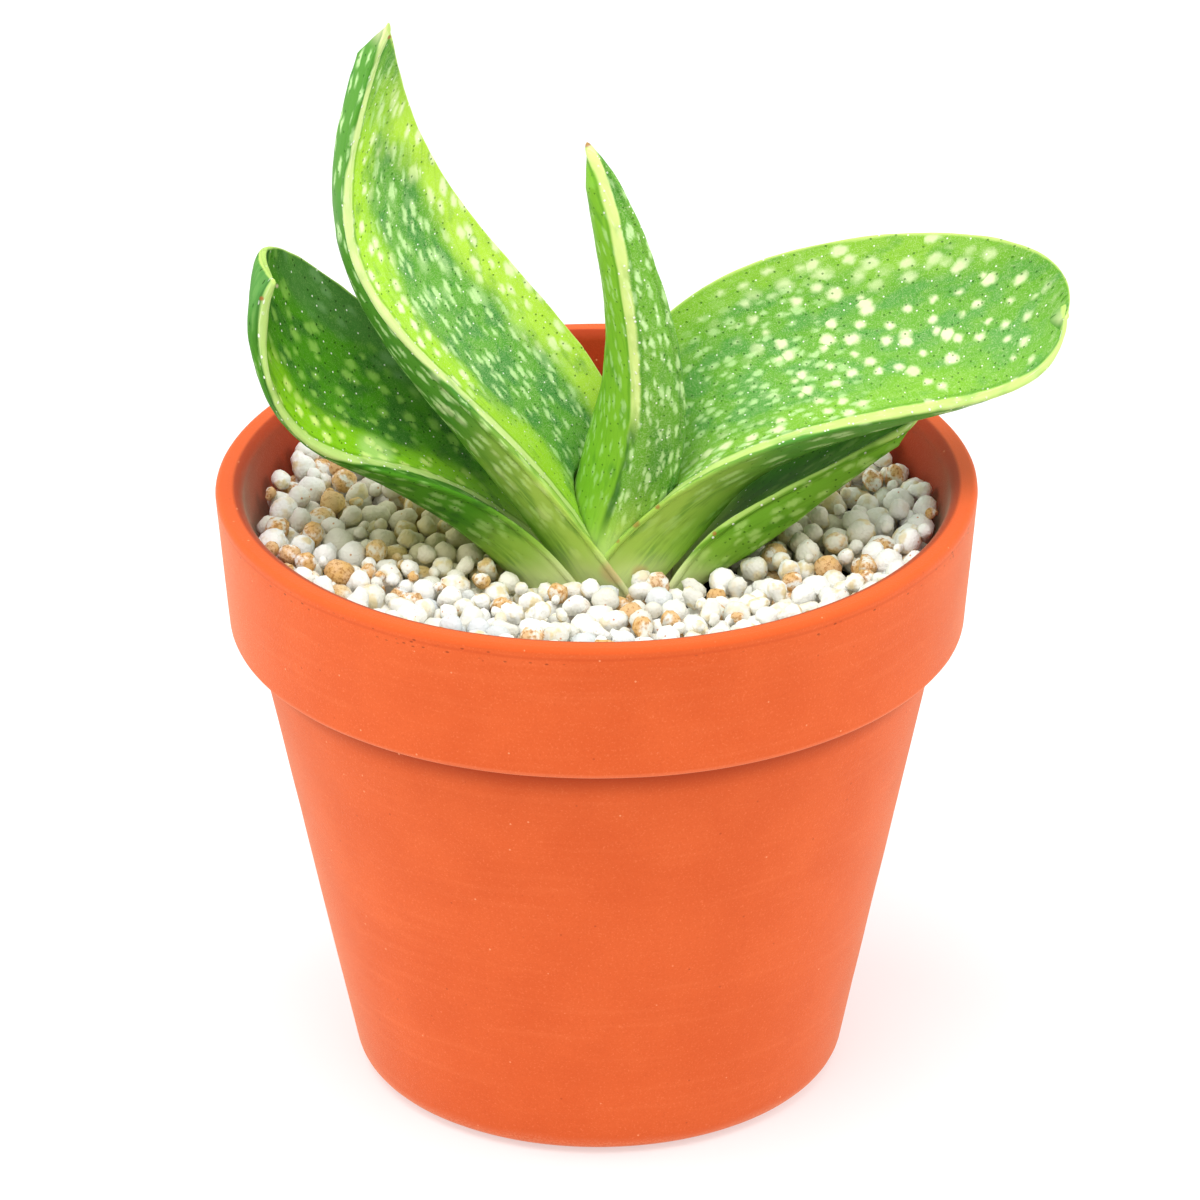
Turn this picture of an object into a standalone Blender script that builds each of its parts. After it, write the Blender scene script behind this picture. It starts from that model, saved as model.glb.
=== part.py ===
"""A young gasteria in a terracotta pot: pot, soil, pellet topping, stem and five spotted leaves."""

from math import comb, cos, hypot, pi, radians, sin

import bmesh
import bpy
import numpy as np
from mathutils import Vector
from mathutils.geometry import delaunay_2d_cdt

MM = 0.001

# Touching pieces keep this much air between them.
GAP = 0.3 * MM

# Points nearer than this are one point.
MERGE = 0.01 * MM

# The pot's axis stands left of the origin, which is the middle of the whole outline.
POT_X = -6 * MM

# Pot, with its leans in degrees from upright for the wall and from level for the rim's underside.
POT_HEIGHT = 83.3 * MM
RIM_RADIUS = 50 * MM
RIM_HEIGHT = 19.3 * MM
RIM_FOOT_RADIUS = 48.4 * MM
RIM_FOOT_ROUND = 0.6 * MM
RIM_UNDERSIDE_LEAN = 10
SHOULDER_RADIUS = 45.1 * MM
SHOULDER_ROUND = 0.8 * MM
BASE_RADIUS = 32.6 * MM
FOOT_ROUND = 3.7 * MM
WALL_LEAN = 12
MOUTH_RADIUS = 46.3 * MM
LIP_OUTER_ROUND = 0.8 * MM
LIP_INNER_ROUND = 1.5 * MM
FLOOR_RADIUS = 29.5 * MM
FLOOR_HEIGHT = 5 * MM
FLOOR_ROUND = 3 * MM
DRAIN_RADIUS = 5 * MM
ROUND_STEPS = 3
FOOT_STEPS = 4
POT_SIDES = 56

# Soil and stem
SOIL_TOP = 70 * MM
STEM_RADIUS = 11 * MM
STEM_BOTTOM = 60 * MM
STEM_TAPER = 2 * MM
STEM_SIDES = 24
CROWN_X = 1.5 * MM
CROWN_Y = -2 * MM
CROWN_BASE = 72 * MM

# Pellet bed: the hollows between pellets lie at its level, which rises towards the pot's wall.
PELLET_PITCH = 5.2 * MM
NEIGHBOUR_REACH = 1.5 * PELLET_PITCH
CROWN_MARGIN = 0.8 * MM
PELLET_JITTER = 0.35 * MM
PELLET_RISE = 1.8 * MM
SHOULDER_PLACE = 0.31
SHOULDER_SHARE = 0.78
SHOULDER_POINTS = 6
SADDLE_SHARE = 0.15
EDGE_SHARE = 0.25
BED_EDGE = 44.5 * MM
BED_LEVEL = 75 * MM
BED_DISH = 1.3 * MM
BED_MARGIN = 0.4 * MM
BED_SIDES = 64
HOLE_X = 2.5 * MM
HOLE_Y = -2 * MM
HOLE_HALF_X = 19.5 * MM
HOLE_HALF_Y = 11.9 * MM
HOLE_SQUARENESS = 3
HOLE_SIDES = 32
PELLET_SEED = 7

# Leaves: margins run from the stem to the tip, in millimetres from the pot's axis and its base.
# The upper face is hollowed and the lower face bellies out, each by a depth that varies along the leaf
# and thins out where the leaf is narrower than its full width.
LEAF_STATIONS = 22
TIP_CROWDING = 1.5
LOWER_STEPS = 8
UPPER_STEPS = 6
EDGE_THICKNESS = 1.0
EDGE_ROLL = 0.3
FULL_WIDTH = 4
KEEL_PLACE = -0.5
BELLY_POWER = 0.6
LEAVES = {
    "leaf_centre": {
        "near": [(6.5, -8.5, 70.5), (8.5, -7.5, 86.5), (17, -7, 94), (10.5, -6.5, 104.5), (7.5, -3.5, 125.5)],
        "far": [(0, 3, 70.5), (-7.5, 1, 84.5), (5, 1.5, 94.5), (6, 2.5, 105.5), (-0.5, 2, 118.5)],
        "tip": (-1, -1, 132),
        "hollow": (1, 2, 1, 0.2),
        "depth": (5, 6, 5, 1.5),
        "upper_side": 1,
    },
    "leaf_right_large": {
        "near": [(-3.5, -10.5, 70.5), (6.5, -12, 91), (25, -11.5, 98.5), (44.5, -9.5, 98), (60, -6, 94.5)],
        "far": [(2.5, 7.5, 70.5), (0, 8, 97), (2, 10, 114.5), (34.5, 11.5, 115), (66.5, 12, 119)],
        "tip": (61.5, 4, 104.5),
        "hollow": (3, 7, 2.5, 0.5),
        "depth": (7, 19, 6, 2),
        "upper_side": -1,
    },
    "leaf_left_tall": {
        "near": [(6, -12.5, 70.5), (-4.5, -14, 88), (-17, -12, 104.5), (-36, -8, 111.5), (-37, -3.5, 120.5)],
        "far": [(3.5, 8.5, 70.5), (9.5, 8.5, 93), (-5, 8.5, 106), (-20.5, 8, 115.5), (-24.5, 7, 131)],
        "tip": (-26.5, 2.5, 147.5),
        "hollow": (3, 5, 1.5, 0.3),
        "depth": (6, 13.5, 5, 2.5),
        "upper_side": 1,
    },
    "leaf_right_low": {
        "near": [(7.5, -13, 70.5), (12.5, -12, 82), (17.5, -11, 84), (23.5, -9.5, 86), (32, -5.5, 88.5)],
        "far": [(8, 8, 70.5), (14, 8, 79), (19.5, 8, 82), (24.5, 9, 87), (31.5, 9, 90)],
        "tip": (42, 2, 91),
        "hollow": (1, 3, 1.5, 0.5),
        "depth": (2, 9, 5, 1),
        "upper_side": -1,
    },
    "leaf_left_low": {
        "near": [(0, -12.5, 70.5), (-15, -12, 95.5), (-30, -12, 90.5), (-40.5, -12, 86.5), (-46, -10, 102.5)],
        "far": [(-2, 8, 70.5), (-12, 8, 85.5), (-22, 8, 99.5), (-35.5, 6.5, 111.5), (-47, 3.5, 122.5)],
        "tip": (-41.5, -6.5, 115),
        "hollow": (3, 4, 2, 0.5),
        "depth": (6, 7.5, 2.5, 0.5),
        "upper_side": 1,
    },
}

# Each finish is a linear colour and a roughness.
FINISHES = {
    "pot": ((0.80, 0.13, 0.030), 0.75),
    "pellets": ((0.85, 0.80, 0.66), 0.8),
    "soil": ((0.05, 0.03, 0.02), 0.95),
    "stem": ((0.45, 0.40, 0.20), 0.7),
    "leaf_left_low": ((0.10, 0.27, 0.03), 0.4),
    "leaf_left_tall": ((0.20, 0.45, 0.05), 0.4),
    "leaf_centre": ((0.16, 0.38, 0.05), 0.4),
    "leaf_right_large": ((0.20, 0.45, 0.05), 0.4),
    "leaf_right_low": ((0.14, 0.33, 0.04), 0.4),
}


def clear_scene():
    for obj in list(bpy.data.objects):
        bpy.data.objects.remove(obj, do_unlink=True)


def finish(name):
    colour, roughness = FINISHES[name]
    material = bpy.data.materials.new(name)
    material.use_nodes = True
    shader = material.node_tree.nodes["Principled BSDF"]
    shader.inputs["Base Color"].default_value = (*colour, 1)
    shader.inputs["Roughness"].default_value = roughness
    shader.inputs["Metallic"].default_value = 0
    return material


def place(bm, name, parent, smooth_below=40):
    """One named object from the bmesh, shaded smooth but for its edges sharper than an angle."""
    mesh = bpy.data.meshes.new(name)
    bm.to_mesh(mesh)
    bm.free()
    mesh.shade_smooth()
    mesh.set_sharp_from_angle(angle=radians(smooth_below))
    obj = bpy.data.objects.new(name, mesh)
    bpy.context.collection.objects.link(obj)
    obj.parent = parent
    return obj


def arc(centre_r, centre_z, radius, start, end, steps=ROUND_STEPS):
    """Profile points round a centre, with the angles in degrees from the outward direction."""
    angles = [radians(start + (end - start) * k / steps) for k in range(steps + 1)]
    return [(centre_r + radius * cos(a), centre_z + radius * sin(a)) for a in angles]


def turned(profile, sides, closed=False):
    """A bmesh of the profile, as (radius, height) pairs, spun once round the axis."""
    bm = bmesh.new()
    verts = [bm.verts.new((r, 0, z)) for r, z in profile]
    pairs = list(zip(verts, verts[1:]))
    if closed:
        pairs.append((verts[-1], verts[0]))
    edges = [bm.edges.new(pair) for pair in pairs]
    bmesh.ops.spin(
        bm,
        geom=verts + edges,
        cent=(0, 0, 0),
        axis=(0, 0, 1),
        angle=2 * pi,
        steps=sides,
        use_merge=True,
    )
    bmesh.ops.remove_doubles(bm, verts=bm.verts[:], dist=MERGE)
    bmesh.ops.recalc_face_normals(bm, faces=bm.faces[:])
    return bm


def inner_radius(z):
    """The pot's inner wall, straight from its mouth to the round at its floor."""
    top = POT_HEIGHT - LIP_INNER_ROUND
    bottom = FLOOR_HEIGHT + FLOOR_ROUND
    share = (top - z) / (top - bottom)
    return MOUTH_RADIUS + (FLOOR_RADIUS - MOUTH_RADIUS) * share


def pot_profile():
    """The wall's outline, from the drain hole up the outside, over the lip and down the inside."""
    rim_foot = POT_HEIGHT - RIM_HEIGHT
    foot = arc(BASE_RADIUS - FOOT_ROUND, FOOT_ROUND, FOOT_ROUND, -90, -WALL_LEAN, FOOT_STEPS)
    shoulder = arc(
        SHOULDER_RADIUS + SHOULDER_ROUND,
        rim_foot - SHOULDER_ROUND,
        SHOULDER_ROUND,
        180 - WALL_LEAN,
        90 + RIM_UNDERSIDE_LEAN,
    )
    rim_foot_edge = arc(
        RIM_FOOT_RADIUS - RIM_FOOT_ROUND,
        rim_foot + RIM_FOOT_ROUND,
        RIM_FOOT_ROUND,
        RIM_UNDERSIDE_LEAN - 90,
        0,
    )
    lip_outside = arc(RIM_RADIUS - LIP_OUTER_ROUND, POT_HEIGHT - LIP_OUTER_ROUND, LIP_OUTER_ROUND, 0, 90)
    lip_inside = arc(MOUTH_RADIUS + LIP_INNER_ROUND, POT_HEIGHT - LIP_INNER_ROUND, LIP_INNER_ROUND, 90, 180)
    floor_edge = arc(FLOOR_RADIUS - FLOOR_ROUND, FLOOR_HEIGHT + FLOOR_ROUND, FLOOR_ROUND, 0, -90)
    return [
        (DRAIN_RADIUS, 0),
        *foot,
        *shoulder,
        *rim_foot_edge,
        *lip_outside,
        *lip_inside,
        *floor_edge,
        (DRAIN_RADIUS, FLOOR_HEIGHT),
    ]


def make_pot(root):
    return place(turned(pot_profile(), POT_SIDES, closed=True), "pot", root)


def make_soil(root):
    """The potting mix, which follows the pot's wall and has a plain hole for the stem."""
    lift = FLOOR_HEIGHT + GAP
    hole = STEM_RADIUS + GAP
    profile = [
        (0, lift),
        *arc(FLOOR_RADIUS - GAP - FLOOR_ROUND, lift + FLOOR_ROUND, FLOOR_ROUND, -90, 0),
        (inner_radius(SOIL_TOP) - GAP, SOIL_TOP),
        (hole, SOIL_TOP),
        (hole, STEM_BOTTOM - GAP),
        (0, STEM_BOTTOM - GAP),
    ]
    bm = turned(profile, POT_SIDES)
    hole_verts = [v for v in bm.verts if hypot(v.co.x, v.co.y) < hole + GAP and v.co.z > SOIL_TOP / 2]
    bmesh.ops.translate(bm, vec=(CROWN_X, CROWN_Y, 0), verts=hole_verts)
    return place(bm, "soil", root)


def make_stem(root):
    """The short stem, whose flat top carries the leaf bases."""
    top = CROWN_BASE - GAP
    profile = [
        (0, STEM_BOTTOM),
        (STEM_RADIUS - 2 * STEM_TAPER, STEM_BOTTOM),
        (STEM_RADIUS - STEM_TAPER, STEM_BOTTOM + STEM_TAPER),
        (STEM_RADIUS, top - STEM_TAPER),
        (STEM_RADIUS, top),
        (0, top),
    ]
    bm = turned(profile, STEM_SIDES)
    bmesh.ops.translate(bm, vec=(CROWN_X, CROWN_Y, 0), verts=bm.verts[:])
    return place(bm, "stem", root)


def in_crown_hole(x, y, margin=0.0):
    """Whether a point is in the rounded oblong hole that the crown stands in."""
    across = abs(x - HOLE_X) / (HOLE_HALF_X + margin)
    along = abs(y - HOLE_Y) / (HOLE_HALF_Y + margin)
    return across**HOLE_SQUARENESS + along**HOLE_SQUARENESS < 1


def bed_height(x, y, share):
    """Height on the bed: share is 0 in the hollows between pellets and 1 at their tops."""
    return BED_LEVEL + BED_DISH * (hypot(x, y) / BED_EDGE) ** 2 + PELLET_RISE * share


def bed_outline():
    """Points round the bed's outer edge."""
    angles = [2 * pi * k / BED_SIDES for k in range(BED_SIDES)]
    return [(BED_EDGE * cos(a), BED_EDGE * sin(a), EDGE_SHARE) for a in angles]


def hole_outline():
    """Points round the hole that the crown stands in."""
    points = []
    for k in range(HOLE_SIDES):
        along_x, along_y = cos(2 * pi * k / HOLE_SIDES), sin(2 * pi * k / HOLE_SIDES)
        reach = abs(along_x) ** HOLE_SQUARENESS + abs(along_y) ** HOLE_SQUARENESS
        stretch = reach ** (-1 / HOLE_SQUARENESS)
        x = HOLE_X + HOLE_HALF_X * along_x * stretch
        y = HOLE_Y + HOLE_HALF_Y * along_y * stretch
        points.append((x, y, EDGE_SHARE))
    return points


def pellet_centres():
    """Pellet centres in slightly shaken rings, from the pot's wall inwards."""
    draw = np.random.default_rng(PELLET_SEED)
    row = PELLET_PITCH * sin(radians(60))
    centres = []
    for ring in range(int(BED_EDGE / row)):
        radius = BED_EDGE - PELLET_PITCH / 2 - ring * row
        count = round(2 * pi * radius / PELLET_PITCH)
        start = draw.uniform(0, 2 * pi)
        for k in range(count):
            angle = start + 2 * pi * k / count
            shake_x, shake_y = draw.uniform(-PELLET_JITTER, PELLET_JITTER, 2)
            x = radius * cos(angle) + shake_x
            y = radius * sin(angle) + shake_y
            if not in_crown_hole(x, y, CROWN_MARGIN):
                centres.append(Vector((x, y)))
    return centres


def bed_points():
    """The pellets' tops, the shoulders round them, and the saddles and hollows between them."""
    centres, _, triangles, _, _, _ = delaunay_2d_cdt(pellet_centres(), [], [], 0, MERGE)
    points = []

    def keep(spot, share, margin=BED_MARGIN):
        if spot.length < BED_EDGE - margin and not in_crown_hole(spot.x, spot.y, margin):
            points.append((spot.x, spot.y, share))

    for centre in centres:
        keep(centre, 1)
        for k in range(SHOULDER_POINTS):
            angle = 2 * pi * k / SHOULDER_POINTS
            keep(centre + SHOULDER_PLACE * PELLET_PITCH * Vector((cos(angle), sin(angle))), SHOULDER_SHARE)
    between = set()
    for corners in triangles:
        sides = [tuple(sorted((corners[k - 1], corners[k]))) for k in range(3)]
        close = [(a, b) for a, b in sides if (centres[a] - centres[b]).length < NEIGHBOUR_REACH]
        between.update(close)
        if len(close) == len(sides):
            keep(sum((centres[k] for k in corners), Vector((0, 0))) / 3, 0)
    for first, second in sorted(between):
        keep((centres[first] + centres[second]) / 2, SADDLE_SHARE)
    return points


def make_pellets(root):
    """The bed of pellets: a relief of round tops, with a plain hole for the crown."""
    outer = bed_outline()
    hole = hole_outline()
    points = outer + hole + bed_points()
    loops = [(k, (k + 1) % BED_SIDES) for k in range(BED_SIDES)]
    loops += [(BED_SIDES + k, BED_SIDES + (k + 1) % HOLE_SIDES) for k in range(HOLE_SIDES)]
    flat = [Vector(point[:2]) for point in points]
    spots, _, triangles, sources, _, _ = delaunay_2d_cdt(flat, loops, [], 0, MERGE)
    bm = bmesh.new()
    verts = []
    for spot, source in zip(spots, sources):
        verts.append(bm.verts.new((spot.x, spot.y, bed_height(spot.x, spot.y, points[source[0]][2]))))
    for corners in triangles:
        middle = sum((spots[k] for k in corners), Vector((0, 0))) / 3
        if not in_crown_hole(middle.x, middle.y):
            bm.faces.new([verts[k] for k in corners])
    borders = [edge for edge in bm.edges if edge.is_boundary]
    skirt = bmesh.ops.extrude_edge_only(bm, edges=borders)["geom"]
    bottom = SOIL_TOP + GAP
    taper = (inner_radius(bottom) - GAP) / BED_EDGE
    for vert in skirt:
        if isinstance(vert, bmesh.types.BMVert):
            if vert.co.xy.length > BED_EDGE - BED_MARGIN:
                vert.co.xy *= taper
            vert.co.z = bottom
    floor = [edge for edge in skirt if isinstance(edge, bmesh.types.BMEdge) and edge.is_boundary]
    bmesh.ops.triangle_fill(bm, edges=floor, use_beauty=True, use_dissolve=False)
    bmesh.ops.recalc_face_normals(bm, faces=bm.faces[:])
    return place(bm, "pellets", root, smooth_below=60)


def bezier(controls, t):
    """The point or value at t of the curve that the controls pull."""
    n = len(controls) - 1
    weights = [comb(n, k) * t**k * (1 - t) ** (n - k) for k in range(n + 1)]
    return sum(weight * np.array(control, float) for weight, control in zip(weights, controls))


def belly(s):
    """The lower face's fullness across the leaf, 1 at the off-centre keel and 0 at both margins."""
    margin = -1 if s < KEEL_PLACE else 1
    share = (s - KEEL_PLACE) / (margin - KEEL_PLACE)
    return max(0, 1 - share * share) ** BELLY_POWER


def leaf_ring(leaf, t, grow):
    """Points in millimetres round the leaf's section at t, from its near margin under it and back over it."""
    near = [*leaf["near"], leaf["tip"]]
    far = [*leaf["far"], leaf["tip"]]
    step = 0.01
    start, end = bezier(near, t), bezier(far, t)
    ahead = bezier(near, t + step) + bezier(far, t + step)
    behind = bezier(near, t - step) + bezier(far, t - step)
    width = np.linalg.norm(end - start)
    across = (end - start) / max(width, step)
    down = -leaf["upper_side"] * np.cross(across, ahead - behind)
    down /= max(np.linalg.norm(down), step)
    narrowing = min(1, width / FULL_WIDTH)
    edge = EDGE_THICKNESS * narrowing
    hollow = bezier(leaf["hollow"], t) * narrowing
    depth = bezier(leaf["depth"], t) * narrowing
    roll = EDGE_ROLL * edge + grow

    def at(s, drop, out=0.0):
        return (start + end) / 2 + across * (s * width / 2 + out) + down * drop

    under = [-cos(pi * k / LOWER_STEPS) for k in range(LOWER_STEPS + 1)]
    over = [cos(pi * k / UPPER_STEPS) for k in range(UPPER_STEPS + 1)]
    return [
        at(-1, edge / 2, -roll),
        *[at(s, edge + depth * belly(s) + grow, s * grow) for s in under],
        at(1, edge / 2, roll),
        *[at(s, hollow * (1 - s * s) - grow, s * grow) for s in over],
    ]


def leaf_bmesh(leaf, grow=0.0):
    """A grid wrapped round the leaf from station to station, closed to a point at its tip."""
    stations = [1 - (1 - k / LEAF_STATIONS) ** TIP_CROWDING for k in range(LEAF_STATIONS)]
    rings = [leaf_ring(leaf, t, grow) for t in stations]
    around = len(rings[0])
    rings.append([leaf["tip"]] * around)
    bm = bmesh.new()
    bmesh.ops.create_grid(bm, x_segments=around, y_segments=LEAF_STATIONS, size=0.5)
    for vert in bm.verts:
        column = round((vert.co.x + 0.5) * around) % around
        row = round((vert.co.y + 0.5) * LEAF_STATIONS)
        vert.co = Vector(rings[row][column]) * MM
    bmesh.ops.remove_doubles(bm, verts=bm.verts[:], dist=MERGE)
    base = [edge for edge in bm.edges if edge.is_boundary]
    bmesh.ops.contextual_create(bm, geom=base)
    bmesh.ops.recalc_face_normals(bm, faces=bm.faces[:])
    return bm


def flat_foot(bm):
    """Cuts the leaf off level where it stands on the stem."""
    bmesh.ops.bisect_plane(
        bm,
        geom=bm.verts[:] + bm.edges[:] + bm.faces[:],
        plane_co=(0, 0, CROWN_BASE),
        plane_no=(0, 0, -1),
        clear_outer=True,
    )
    open_edges = [edge for edge in bm.edges if edge.is_boundary]
    bmesh.ops.holes_fill(bm, edges=open_edges)
    bmesh.ops.recalc_face_normals(bm, faces=bm.faces[:])
    return bm


def make_leaves(root):
    """The leaves from the innermost out: each is cut clear of those that it wraps."""
    inner = []
    for name, leaf in LEAVES.items():
        obj = place(flat_foot(leaf_bmesh(leaf)), name, root, smooth_below=60)
        for wrapped in inner:
            cut = obj.modifiers.new(wrapped.name, "BOOLEAN")
            cut.operation = "DIFFERENCE"
            cut.object = wrapped
        clearance = place(leaf_bmesh(leaf, grow=GAP / MM), f"{name}_clearance", root)
        clearance.hide_render = True
        clearance.display_type = "WIRE"
        inner.append(clearance)


def main():
    clear_scene()
    root = bpy.data.objects.new("pot_axis", None)
    bpy.context.collection.objects.link(root)
    root.location.x = POT_X
    make_pot(root)
    make_soil(root)
    make_stem(root)
    make_pellets(root)
    make_leaves(root)
    for name in FINISHES:
        bpy.data.objects[name].data.materials.append(finish(name))


main()
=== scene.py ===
from collections import namedtuple
from math import comb, cos, pi, radians, sin, sqrt

import bmesh
import bpy
import numpy as np
from mathutils import Euler, Matrix, Vector, noise
from mathutils.bvhtree import BVHTree
from mathutils.interpolate import poly_3d_calc


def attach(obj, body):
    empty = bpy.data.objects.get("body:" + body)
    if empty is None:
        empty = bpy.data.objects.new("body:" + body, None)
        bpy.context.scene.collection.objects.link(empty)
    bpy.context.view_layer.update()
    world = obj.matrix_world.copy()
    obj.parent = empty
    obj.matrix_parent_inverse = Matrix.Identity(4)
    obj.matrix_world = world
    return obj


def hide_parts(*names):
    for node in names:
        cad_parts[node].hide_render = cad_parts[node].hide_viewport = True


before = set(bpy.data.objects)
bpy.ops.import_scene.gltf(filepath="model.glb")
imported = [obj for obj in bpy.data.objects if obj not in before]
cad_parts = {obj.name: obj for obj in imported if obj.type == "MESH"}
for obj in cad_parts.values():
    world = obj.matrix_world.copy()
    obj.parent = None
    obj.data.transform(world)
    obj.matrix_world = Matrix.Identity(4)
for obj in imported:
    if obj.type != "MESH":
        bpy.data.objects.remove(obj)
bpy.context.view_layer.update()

MM = 0.001
UP = Vector((0, 0, 1))

# Sizes below are in millimetres, from the pot's axis and its base. The axis stands left of the frame's
# origin.
POT_X = -6
MERGE = 0.01

# Pot
POT_HEIGHT = 83.3
RIM_RADIUS = 50
RIM_HEIGHT = 19.3
RIM_FOOT = POT_HEIGHT - RIM_HEIGHT
RIM_FOOT_RADIUS = 48.4
RIM_FOOT_ROUND = 0.6
RIM_UNDERSIDE_LEAN = 10
SHOULDER_RADIUS = 45.1
SHOULDER_ROUND = 0.8
BASE_RADIUS = 32.6
FOOT_ROUND = 3.7
WALL_LEAN = 12
MOUTH_RADIUS = 46.3
LIP_OUTER_ROUND = 0.8
LIP_INNER_ROUND = 1.5
FLOOR_RADIUS = 29.5
FLOOR_HEIGHT = 5
FLOOR_ROUND = 3
DRAIN_RADIUS = 5
ROUND_STEPS = 8
POT_SIDES = 240
WALL_STEP = 3
POT_SHARP = 50

# The pressed clay's unevenness: how far its wall swells in waves and in smaller ripples, and how far its
# height wavers as a share of that
POT_SWELL = 0.12
POT_WAVE = 0.035
POT_RIPPLE = 0.15
RIPPLE_SHARE = 0.4
WAVER_SHARE = 0.6
WAVER_SCALE = 0.05
WAVER_SHIFT = Vector((9, 0, 0))

# Heights of the darker line and of the row of pits below the lip
LIP_LINE = POT_HEIGHT - 1.2
PIT_ROW = POT_HEIGHT - 1.7

# Pellets. The top of the bed is level about the plant and rises by the dish to the wall.
PELLET_FLOOR = 70.3
PELLET_TOP = 76.8
PELLET_DISH = 3.4
DISH_POWER = 3
BED_EDGE = 44.5
PELLET_SEED = 11

# How far a pellet may sink into a leaf, and how close two of them come as a share of their radii
PELLET_SINK = 0.2
PELLET_CLOSENESS = 0.94

# How much the pellets vary: in radius, by a draw with a spread and limits, and in their proportions
RADIUS_VARIES = 0.22
RADIUS_SPREAD = 0.6
RADIUS_LIMITS = (-1.5, 1.2)
PELLET_STRETCH = (0.92, 1.1)

# The shapes that the pellets are copied from: balls of radius 1, and smaller cores with a knob or two
ROUND_SHAPES = 7
KNOBBED_SHAPES = 6
CORE = (Vector((0, 0, -0.3)), 0.84)
KNOB_REACH = 0.55
KNOB_RADIUS = (0.45, 0.72)
PELLET_LUMP = 0.2
LUMP_SCALE = 1.2
ALL_SMOOTH = 180

# Where the leaves throw a green light on the pellets, how strongly, and how far it reaches and fades
GREEN_LIGHT = (((-24, 3, 76), 0.65), ((-13, -2, 76), 0.6), ((24, 3, 76), 0.45))
GREEN_REACH = 5
GREEN_FADE = 13

# Two sorts of pellets: their middle radius, how often one is dropped, how many places it tries, and how far
# below the bed's level its top is at least and its underside at most
Sort = namedtuple("Sort", "radius drops tries headroom depth")
WHOLE_PELLETS = Sort(1.72, 1250, 120, 0, 10)
CRUMBS = Sort(0.95, 500, 8, 0.7, 4)

# Leaves, with the same values as the solids and finer steps
LEAF_STATIONS = 150
TIP_CROWDING = 1.5
LOWER_STEPS = 44
UPPER_STEPS = 40
EDGE_STEPS = 6
CUTTER_STATIONS = 60
EDGE_THICKNESS = 1.0
EDGE_ROLL = 0.3
FULL_WIDTH = 4
KEEL_PLACE = -0.5
BELLY_POWER = 0.6
CROWN_BASE = 72
LEAF_GAP = 0.25
LEAF_SHARP = 60

# The slight swells and dimples of a juicy leaf, and their scales
LEAF_UNEVENNESS = 0.12
LEAF_WAVE = 0.22
LEAF_DIMPLE = 0.7
DIMPLE_SHARE = 0.35

# The pale line along each leaf is a low ridge. Its values pull the curve of its distance from the near
# margin, on the upper face, or on the lower face where they are below 0. It is the blunt edge of four
# leaves and the keel of the middle one.
RIDGE_RISE = 0.22
RIDGE_HALF = 1.0
RIDGE_START = 18
RIDGES = {
    "leaf_centre": (-9, -9, -6.2, -0.4),
    "leaf_right_large": (3, 1.6, 2.5, 0.6, 0.8),
    "leaf_left_tall": (7.9, 3.5, 6.1, -8.9, 6.8, 0.4),
    "leaf_right_low": (5.3, -3.6, 3.7, -0.3),
    "leaf_left_low": (14, 19, -11.4, 6, -0.6),
}

# Each leaf has the controls of its near and far margins, which both end at its tip, how far its upper face
# is hollowed and its lower face bellies out on the way, and 1 where the upper face looks right or -1 where
# it looks left
LEAVES = {
    "leaf_centre": {
        "near": [
            (6.5, -8.5, 70.5), (8.5, -7.5, 86.5), (17, -7, 94), (10.5, -6.5, 104.5), (7.5, -3.5, 125.5),
        ],
        "far": [(0, 3, 70.5), (-7.5, 1, 84.5), (5, 1.5, 94.5), (6, 2.5, 105.5), (-0.5, 2, 118.5)],
        "tip": (-1, -1, 132),
        "hollow": (1, 2, 1, 0.2),
        "depth": (5, 6, 5, 1.5),
        "upper_side": 1,
    },
    "leaf_right_large": {
        "near": [
            (-3.5, -10.5, 70.5), (6.5, -12, 91), (25, -11.5, 98.5), (44.5, -9.5, 98), (60, -6, 94.5),
        ],
        "far": [(2.5, 7.5, 70.5), (0, 8, 97), (2, 10, 114.5), (34.5, 11.5, 115), (66.5, 12, 119)],
        "tip": (61.5, 4, 104.5),
        "hollow": (3, 7, 2.5, 0.5),
        "depth": (7, 19, 6, 2),
        "upper_side": -1,
    },
    "leaf_left_tall": {
        "near": [
            (6, -12.5, 70.5), (-4.5, -14, 88), (-17, -12, 104.5), (-36, -8, 111.5), (-37, -3.5, 120.5),
        ],
        "far": [(3.5, 8.5, 70.5), (9.5, 8.5, 93), (-5, 8.5, 106), (-20.5, 8, 115.5), (-24.5, 7, 131)],
        "tip": (-26.5, 2.5, 147.5),
        "hollow": (3, 5, 1.5, 0.3),
        "depth": (6, 13.5, 5, 2.5),
        "upper_side": 1,
    },
    "leaf_right_low": {
        "near": [(7.5, -13, 70.5), (12.5, -12, 82), (17.5, -11, 84), (23.5, -9.5, 86), (32, -5.5, 88.5)],
        "far": [(8, 8, 70.5), (14, 8, 79), (19.5, 8, 82), (24.5, 9, 87), (31.5, 9, 90)],
        "tip": (42, 2, 91),
        "hollow": (1, 3, 1.5, 0.5),
        "depth": (2, 9, 5, 1),
        "upper_side": -1,
    },
    "leaf_left_low": {
        "near": [
            (0, -12.5, 70.5), (-15, -12, 95.5), (-30, -12, 90.5), (-40.5, -12, 86.5), (-46, -10, 102.5),
        ],
        "far": [(-2, 8, 70.5), (-12, 8, 85.5), (-22, 8, 99.5), (-35.5, 6.5, 111.5), (-47, 3.5, 122.5)],
        "tip": (-41.5, -6.5, 115),
        "hollow": (3, 4, 2, 0.5),
        "depth": (6, 7.5, 2.5, 0.5),
        "upper_side": 1,
    },
}

# Camera, as the photograph was taken, in millimetres and degrees
CAMERA_DISTANCE = 1390
CAMERA_DOWN = 26.16
CAMERA_ROLL = -0.258
AIM = (0.366, 0, 65.87)
LENS = 316.1
SENSOR = 36

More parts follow.
